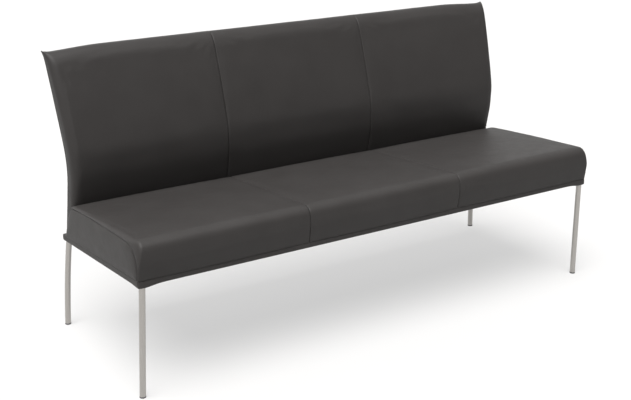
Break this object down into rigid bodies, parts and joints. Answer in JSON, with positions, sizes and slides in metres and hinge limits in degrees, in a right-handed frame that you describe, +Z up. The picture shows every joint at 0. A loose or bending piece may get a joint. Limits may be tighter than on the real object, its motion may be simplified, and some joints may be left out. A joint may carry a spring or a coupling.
{
  "type": "dining bench",
  "caption": "Long upholstered dining bench with a lumbar-bent backrest, leather seat on a tilted base and slim round steel legs",
  "frame": {"origin": "on the floor, under the middle of the bench's overall box", "axes": "+X along the bench, to the right as seen from the front; +Y to the rear; +Z up"},
  "size_m": [1.7638, 0.6468, 0.9244],
  "materials": {
    "leather": "smooth anthracite leather, fine grain, satin",
    "foam": "cold-cure foam in a fleece wrap",
    "plywood": "raw birch plywood",
    "beech": "planed beech",
    "webbing": "woven elastic webbing",
    "dust_cloth": "black spun-bonded cloth",
    "steel_tube": "satin ground stainless steel",
    "plate_steel": "bright rolled steel",
    "glide_plastic": "moulded grey-black plastic",
    "zinc": "zinc plated steel"
  },
  "bodies": {
    "root": {"back_bolts": "zinc", "back_bottom_rail": "beech", "back_cover_left": "leather", "back_cover_middle": "leather", "back_cover_right": "leather", "back_front_foam": "foam", "back_rear_cover_left": "leather", "back_rear_cover_middle": "leather", "back_rear_cover_right": "leather", "back_rear_foam": "foam", "back_shell": "plywood", "back_tee_nuts": "zinc", "back_washers": "zinc", "base_board": "plywood", "box_screws": "zinc", "corner_block_front_left": "beech", "corner_block_front_right": "beech", "corner_block_rear_left": "beech", "corner_block_rear_right": "beech", "dust_cover": "dust_cloth", "foot_bolts": "zinc", "foot_inserts": "zinc", "foot_washers": "zinc", "glide_front_left": "glide_plastic", "glide_front_right": "glide_plastic", "glide_rear_left": "glide_plastic", "glide_rear_right": "glide_plastic", "hem_front": "leather", "hem_left": "leather", "hem_rear": "leather", "hem_right": "leather", "leg_front_left": "steel_tube", "leg_front_right": "steel_tube", "leg_plate_front_left": "plate_steel", "leg_plate_front_right": "plate_steel", "leg_plate_rear_left": "plate_steel", "leg_plate_rear_right": "plate_steel", "leg_rear_left": "steel_tube", "leg_rear_right": "steel_tube", "leg_screws": "zinc", "leg_tee_nuts": "zinc", "seat_cover_left": "leather", "seat_cover_middle": "leather", "seat_cover_right": "leather", "seat_cross_rail_left": "beech", "seat_cross_rail_right": "beech", "seat_end_panel_left": "leather", "seat_end_panel_right": "leather", "seat_foam": "foam", "seat_front_rail": "beech", "seat_left_rail": "beech", "seat_rear_rail": "beech", "seat_right_rail": "beech", "seat_webbing": "webbing", "seat_wing_left": "leather", "seat_wing_right": "leather"}
  },
  "joints": []
}
